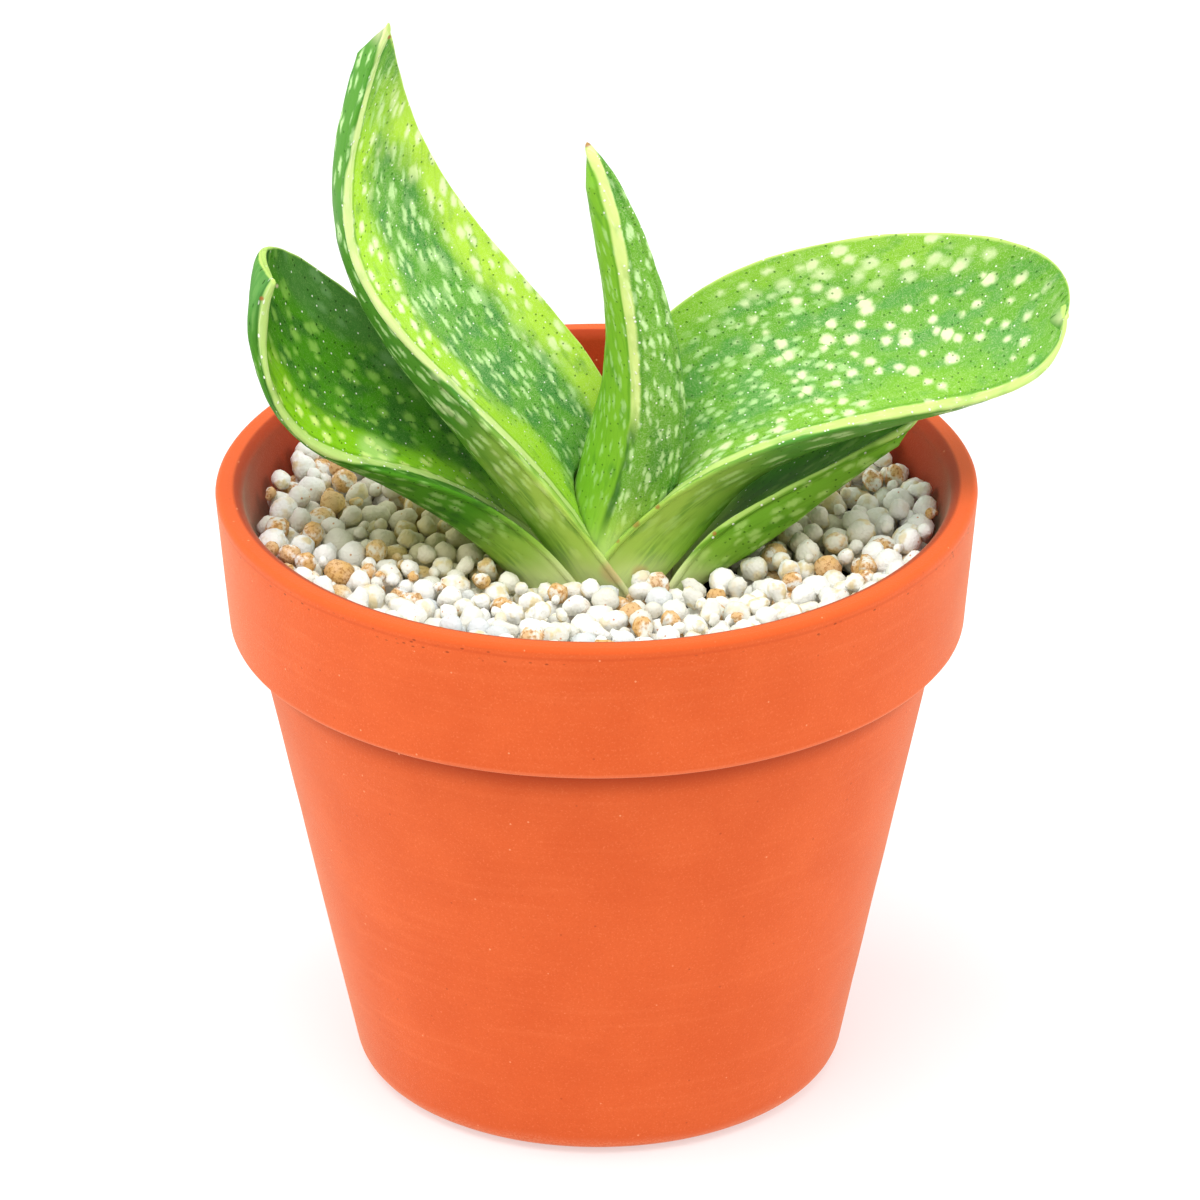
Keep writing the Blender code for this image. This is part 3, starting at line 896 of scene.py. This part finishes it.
# What each leaf has of its own
LOOKS = {
    "leaf_left_tall": {
        **LEAF,
        "inner": colour(166, 218, 40),
        "outer": colour(182, 226, 66),
        "back": colour(84, 146, 46),
        "ridge": colour(222, 240, 158),
        "ridge_half": 0.95,
        "tip": colour(226, 222, 176),
        "spots": [
            Spots("middle", 1.25, 3.8, 0.85, STREAK, 0.85, 14, 84),
            Spots("middle", 3.0, 6.0, 0.35, STREAK, 0.4, 10, 60),
            Spots("inner", 2.3, 3.0, 1.0, CREAM, 0.97, 34, 72),
            Spots("outer", 1.8, 3.8, 1.1, CREAM, 0.85, 28, 76),
            Spots("back", 1.5, 3.8, 0.95, STREAK, 0.85, 14, 86),
            Spots("back", 2.6, 3.6, 0.5, CREAM, 0.45, 8, 40),
        ],
        "marks": [
            Mark((-26.5, 2.9, 145.4), 0.2, 0.2, RUST, 0.8),
            Mark((2.2, -13, 76.2), 1, 1.5, STAIN, 0.6),
        ],
    },
    "leaf_centre": {
        **LEAF,
        "middle": colour(96, 158, 44),
        "inner": colour(104, 166, 44),
        "outer": colour(104, 164, 50),
        "shade": colour(72, 138, 46),
        "back": colour(130, 188, 50),
        "ridge": colour(222, 238, 146),
        "ridge_half": 0.7,
        "bare_back": 0,
        "ridge_from": 22,
        "crease_shade": True,
        "tip": colour(224, 228, 150),
        "spots": [
            Spots("back", 1.25, 3.6, 0.75, STREAK, 0.5, 12, 56),
            Spots("inner", 1.15, 3.0, 1.0, STREAK, 0.9, 10, 58),
            Spots("middle", 1.15, 3.0, 1.05, STREAK, 0.9, 10, 58),
            Spots("outer", 1.15, 3.0, 1.0, STREAK, 0.9, 10, 58),
        ],
        "marks": [Mark((-1, -1, 132), 0.4, 0.3, RUST, 0.8)],
    },
    "leaf_right_large": {
        **LEAF,
        "middle": colour(104, 168, 50),
        "shade": colour(88, 156, 64),
        "inner": colour(122, 182, 48),
        "outer": colour(138, 194, 56),
        "ridge_half": 0.85,
        "margin_width": 1.0,
        "tip": colour(206, 222, 160),
        "tip_from": 0.985,
        "spots": [
            Spots("middle", 1.4, 2.6, 0.95, STREAK, 0.7, 12, 46),
            Spots("inner", 1.4, 2.8, 0.9, STREAK, 0.75, 12, 46),
            Spots("middle", 2.6, 3.0, 0.5, CREAM, 0.92, 36, 72),
            Spots("inner", 2.5, 3.0, 0.55, CREAM, 0.85, 22, 66),
            Spots("outer", 2.5, 3.4, 0.55, CREAM, 0.75, 30, 66),
            Spots("back", 2.0, 5.2, 0.5, STREAK, 0.7, 14, 74),
            Spots("back", 2.4, 3.6, 0.5, colour(86, 132, 60), 0.4, 8, 34),
        ],
        "marks": [
            Mark((7.9, -11.2, 84.9), 0.2, 0.3, RUST, 0.7),
            Mark((5.0, -11.3, 82.5), 0.3, 0.5, RUST, 0.6),
            Mark((2.6, -11.2, 80.0), 0.2, 0.3, RUST, 0.6),
            Mark((5.6, -10.5, 74.9), 0.6, 1, STAIN, 0.6),
            Mark((61.5, 3.5, 105.5), 0.4, 0.5, colour(226, 226, 176), 0.8),
        ],
    },
    "leaf_left_low": {
        **LEAF,
        "middle": colour(72, 140, 20),
        "shade": colour(52, 112, 30),
        "inner": colour(132, 196, 18),
        "outer": colour(76, 128, 56),
        "back": colour(74, 136, 30),
        "dark": colour(26, 78, 6),
        "curls": colour(150, 190, 110),
        "ridge": colour(190, 218, 124),
        # The dull blue-green at this leaf's tip is a painted reflection of the pale surroundings.
        "tip": colour(92, 150, 76),
        "tip_from": 0.9,
        "gloss": 0.05,
        "base": colour(176, 212, 88),
        "bare_back": 3,
        "spots": [
            Spots("inner", 2.5, 3.0, 0.8, colour(216, 240, 130), 0.9, 20, 56),
            Spots("middle", 2.2, 3.2, 0.65, colour(146, 196, 84), 0.75, 20, 60),
            Spots("outer", 2.2, 4.2, 0.5, colour(120, 164, 104), 0.6, 20, 62),
            Spots("back", 2.4, 3.4, 0.6, colour(40, 84, 30), 0.5, 12, 60),
            Spots("back", 1.6, 4.0, 0.8, colour(150, 192, 108), 0.6, 8, 62),
        ],
        "marks": [
            Mark((-43.2, -7.7, 113.3), 0.15, 0.25, RUST, 0.8),
            Mark((-41.4, -0.1, 111.6), 0.1, 0.3, colour(244, 214, 190), 0.6),
            # A painted highlight: the pale patch low on the leaf.
            Mark((-28.5, -7, 91.5), 1.5, 2, colour(200, 232, 150), 0.45),
        ],
    },
    "leaf_right_low": {
        **LEAF,
        "middle": colour(64, 140, 2),
        "shade": colour(56, 122, 6),
        "inner": colour(104, 172, 30),
        "outer": colour(96, 160, 34),
        "back": colour(112, 168, 46),
        "curls": colour(96, 150, 40),
        "dark": colour(34, 92, 6),
        "ridge": colour(178, 210, 110),
        "ridge_half": 0.6,
        "gloss": 0.05,
        "base": colour(166, 206, 78),
        "bare_back": -2,
        "spots": [
            Spots("back", 1.9, 3.4, 0.75, colour(180, 220, 120), 0.6, 6, 36),
            Spots("inner", 2.2, 3.8, 0.4, colour(160, 206, 100), 0.6, 8, 36),
            Spots("middle", 2.2, 3.8, 0.4, colour(140, 190, 80), 0.5, 8, 36),
        ],
        "marks": [
            Mark((15.3, -11.7, 81.2), 0.15, 0.25, RUST, 0.7),
            Mark((18.1, -11, 83.3), 0.12, 0.2, RUST, 0.7),
        ],
    },
}


class LeafSkin(Finish):
    """A leaf's material, with where each point lies on it and the noises that its markings share: a broad
    drift, which sways the zones' edges, drawn-out patches and fine fibres."""

    def __init__(self, name, look):
        super().__init__(
            f"{name}_flesh",
            Roughness=0.5,
            Specular_IOR_Level=look["gloss"],
            Specular_Tint=(0.75, 1, 0.6, 1),
        )
        self.look = look
        self.place = self.attribute("place")
        self.along = self.parts(self.place)[1]
        self.past_ridge, self.from_far, self.share = self.parts(self.attribute("edges"))
        self.drift = self.grain(self.stretched(self.place, (0.12, 0.07, 1)), 1, 3, 0.55)
        self.patch = self.grain(self.stretched(self.place, (0.34, 0.17, 1), (3, 7, 0)), 1, 2)
        self.fibre = self.grain(self.stretched(self.place, (2.2, 0.2, 1)), 1, 3, 0.6)
        self.sway = (self.drift - 0.5) * 12
        self.back = self.past_ridge.rise(0.4, -0.4)
        self.front = 1 - self.back
        self.off_ridge = self.past_ridge.size() + (self.patch - 0.5) * 0.9
        self.ridge_shown = self.along.rise(look["ridge_from"], look["ridge_from"] + 8)


def leaf_zones(skin):
    """Each zone of the leaf as a mask, 1 inside it and 0 outside."""
    blade = skin.front * skin.share.rise(0.95, 0.78)
    zones = {
        "inner": (skin.past_ridge + skin.sway).rise(8, 3) * blade,
        "outer": (skin.from_far + skin.sway).rise(7, 2) * blade,
        "back": skin.back,
    }
    zones["middle"] = 1 - zones["inner"].more(zones["outer"]).more(skin.back)
    return zones


def leaf_greens(skin, zones):
    """The greens of the zones, mottled and finely streaked, and the tip."""
    look = skin.look
    body = skin.blend(look["middle"], look["shade"], skin.patch.rise(0.42, 0.62))
    for zone in ("inner", "outer", "back"):
        body = skin.blend(body, look[zone], zones[zone])
    body = skin.blend(body, look["shade"], skin.patch.rise(0.55, 0.7) * 0.5)
    body = skin.blend(body, look["dark"], skin.fibre.rise(0.5, 0.75) * 0.25)
    return skin.blend(body, look["tip"], skin.share.rise(look["tip_from"], 1) * 0.9)


def spot_shapes(skin, place, spots):
    """1 in soft spots, drawn out along the leaf, that crowd together here and there."""
    sized = skin.stretched(place, (1 / spots.width, 1 / spots.length, 1), (spots.width, spots.length, 0))
    away, lot, seat = skin.cells(sized, 1, flat=True)
    crowd = skin.grain(seat, 0.32, 1)
    chosen = (crowd * 2.6 + lot[0] * 0.5).rise(1.8 - spots.density, 1.88 - spots.density)
    return (away + lot[1] * 0.2).rise(0.46, 0.16) * chosen


def leaf_spots(skin, body, zones):
    """The spots of each kind, in their zone and stretch of the leaf, and fine curls on the front."""
    shake = skin.add("TexNoise", {}, {"Vector": skin.place, "Scale": 1.1, "Detail": 2}, "Color")
    inputs = {0: shake, 1: (0.9, 0.9, 0), 2: skin.place}
    shaken = skin.add("VectorMath", {"operation": "MULTIPLY_ADD"}, inputs)
    for spots in skin.look["spots"]:
        shown = spot_shapes(skin, shaken, spots) * zones[spots.zone]
        shown = shown * skin.along.rise(spots.start - SPOT_FADE, spots.start + SPOT_FADE)
        shown = shown * skin.along.rise(spots.end + SPOT_FADE, spots.end - SPOT_FADE)
        body = skin.blend(body, spots.paint, shown * spots.strength)
    curls = (skin.grain(skin.place, 1.5, 1, 0.5, 2.5) - 0.5).size().rise(0.05, 0.01)
    return skin.blend(body, skin.look["curls"], curls * 0.24 * skin.front)


def pale_base(skin, body):
    """The leaf's pale base, mottled, and creamy where it leaves the stem. It gives the mask too."""
    look = skin.look
    reach = skin.along + skin.sway - skin.back * look["bare_back"]
    pale = reach.rise(look["bare"] + 10, look["bare"] - 4)
    mottle = skin.patch.rise(0.42, 0.66) * skin.fibre.rise(0.35, 0.6)
    body = skin.blend(body, look["base"], pale * (0.85 - skin.back * 0.2 - mottle * 0.35))
    body = skin.blend(body, colour(240, 244, 190), (skin.along + skin.sway * 0.5).rise(11, 2) * 0.85)
    return body, pale


def ridge_and_margin(skin, body):
    """The pale ridge with painted shade beside it, the pale far margin, and painted shade in the crease."""
    look = skin.look
    half = look["ridge_half"]
    # Painted shade in a groove beside the ridge.
    groove_shade = (skin.off_ridge - half - 0.4).size().rise(0.45, 0) * skin.ridge_shown
    body = skin.blend(body, look["dark"], groove_shade * 0.35)
    ridge = skin.off_ridge.rise(half + 0.3, half - 0.2) * skin.ridge_shown
    body = skin.blend(body, look["ridge"], ridge * (0.85 - skin.patch.rise(0.5, 0.7) * 0.3))
    body = skin.blend(body, colour(246, 250, 222), ridge * skin.fibre.rise(0.55, 0.75) * 0.4)
    uneven = skin.from_far + (skin.patch - 0.5) * 0.5
    margin = uneven.rise(look["margin_width"], look["margin_width"] - 0.4)
    body = skin.blend(body, look["margin"], margin * 0.85)
    if look["crease_shade"]:
        # Painted shade in the crease at the foot of the keel.
        crease_shade = skin.off_ridge.rise(1.0, 0.2) * skin.along.rise(27, 23) * skin.along.rise(8, 13)
        body = skin.blend(body, colour(40, 96, 40), crease_shade * skin.patch.rise(0.3, 0.5) * 0.8)
    return body


def fine_marks(skin, body, pale):
    """Beads along the ridge, tiny pale stars and dark pits. It gives the beads' and pits' relief too."""
    half = skin.look["ridge_half"]
    bead, lot, _ = skin.cells(skin.place, 0.85, flat=True)
    beads = bead.rise(0.17, 0.09) * lot[0].rise(0.45, 0.5)
    beads = beads * (skin.off_ridge - half).size().rise(0.7, 0.3) * skin.ridge_shown
    star, _, _ = skin.cells(skin.place, 0.33, flat=True)
    stars = star.rise(0.045, 0.025) * skin.front
    pit, lot, _ = skin.cells(skin.place, 0.62, flat=True)
    pits = pit.rise(0.1, 0.04) * lot[0].rise(0.3, 0.34)
    pits = pits * skin.off_ridge.rise(half + 0.4, half + 1) * (1 - pale)
    body = skin.blend(body, colour(252, 254, 240), beads.more(stars) * 0.85)
    body = skin.blend(body, skin.look["dark"], pits * 0.6)
    return body, beads * 0.4 - pits * 0.7


def leaf_flesh(name, look):
    """Mottled green with pale spots, its ridge and margins pale, its base paler and smooth."""
    skin = LeafSkin(name, look)
    zones = leaf_zones(skin)
    body = leaf_greens(skin, zones)
    body = leaf_spots(skin, body, zones)
    body, pale = pale_base(skin, body)
    body = ridge_and_margin(skin, body)
    body, relief = fine_marks(skin, body, pale)
    place = skin.object_place()
    for mark in look["marks"]:
        shown = skin.near(place, mark.spot, mark.radius, mark.softness)
        body = skin.blend(body, mark.paint, shown * mark.strength)
    skin.feed("Base Color", body)
    skin.bump(skin.drift * 0.6 + skin.fibre * 0.25 + relief, 0.2)
    return skin


def potting_mix():
    """Dark crumbly mix."""
    finish = Finish("potting_mix", Roughness=0.95)
    place = finish.object_place()
    crumb = finish.grain(place, 1.1, 4, 0.7)
    body = finish.blend(colour(38, 26, 18), colour(96, 70, 48), crumb.rise(0.4, 0.7))
    finish.feed("Base Color", body)
    finish.bump(crumb, 0.5)
    return finish


def stem_bark():
    """Pale olive bark with faint rings."""
    finish = Finish("stem_bark", Roughness=0.7)
    place = finish.object_place()
    ring = finish.grain(finish.stretched(place, (0.1, 0.1, 1.4)), 1, 3)
    body = finish.blend(colour(150, 140, 82), colour(196, 190, 130), ring.rise(0.4, 0.6))
    finish.feed("Base Color", body)
    finish.bump(ring, 0.3)
    return finish


def make_floor():
    """A plain pale floor that glows a little, so that it stays near white."""
    bm = bmesh.new()
    bmesh.ops.create_grid(bm, x_segments=1, y_segments=1, size=FLOOR_HALF)
    mesh = bpy.data.meshes.new("floor")
    bm.to_mesh(mesh)
    bm.free()
    floor = bpy.data.objects.new("floor", mesh)
    bpy.context.scene.collection.objects.link(floor)
    finish = Finish(
        "pale_floor",
        Base_Color=(FLOOR_GREY, FLOOR_GREY, FLOOR_GREY, 1),
        Roughness=0.9,
        Specular_IOR_Level=0.1,
        Emission_Color=(1, 1, 1, 1),
        Emission_Strength=FLOOR_GLOW,
    )
    mesh.materials.append(finish.material)


def add_light(name, place, aim, size, power):
    """A round soft light, in metres and watts, turned to its aim."""
    data = bpy.data.lights.new(name, "AREA")
    data.shape = "DISK"
    data.size = size
    data.energy = power
    light = bpy.data.objects.new(name, data)
    light.location = place
    light.rotation_euler = (Vector(aim) - Vector(place)).to_track_quat("-Z", "Y").to_euler()
    bpy.context.scene.collection.objects.link(light)


def make_studio():
    """A pale floor in a white light tent, with a large soft light above and one at each side."""
    make_floor()
    world = bpy.data.worlds.new("white_tent")
    world.use_nodes = True
    tent = world.node_tree.nodes["Background"]
    tent.inputs["Color"].default_value = (1, 1, 1, 1)
    tent.inputs["Strength"].default_value = TENT_STRENGTH
    bpy.context.scene.world = world
    middle = (POT_X * MM, 0, 0.07)
    add_light("top_light", (-0.1, -0.3, 1.05), middle, 0.8, 8)
    add_light("left_light", (-0.85, 0.2, 0.4), middle, 0.6, 3)
    add_light("right_light", (0.85, 0.2, 0.4), middle, 0.6, 3)


def make_camera():
    """The camera in front of the pot, looking down at it as the photograph does."""
    data = bpy.data.cameras.new("camera")
    data.lens = LENS
    data.sensor_width = SENSOR
    camera = bpy.data.objects.new("camera", data)
    down = radians(CAMERA_DOWN)
    aim = Vector(AIM) + Vector((POT_X, 0, 0))
    camera.location = (aim + CAMERA_DISTANCE * Vector((0, -cos(down), sin(down)))) * MM
    turn = Euler((pi / 2 - down, 0, 0)).to_matrix() @ Matrix.Rotation(radians(CAMERA_ROLL), 3, "Z")
    camera.rotation_euler = turn.to_euler()
    bpy.context.scene.collection.objects.link(camera)
    bpy.context.scene.camera = camera


def main():
    """The camera and the studio, and the pot, the leaves and the pellets in place of their solids."""
    make_camera()
    make_studio()
    bpy.context.scene.view_settings.view_transform = "Standard"
    settle(make_pot(), "pot", terracotta())
    leaves = make_leaves()
    for name, piece in leaves.items():
        settle(piece, name, leaf_flesh(name, LOOKS[name]))
    settle(make_pellets(leaves), "pellets", pellet_clay())
    for node, finish in (("soil", potting_mix()), ("stem", stem_bark())):
        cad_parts[node].data.materials.clear()
        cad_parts[node].data.materials.append(finish.material)


main()
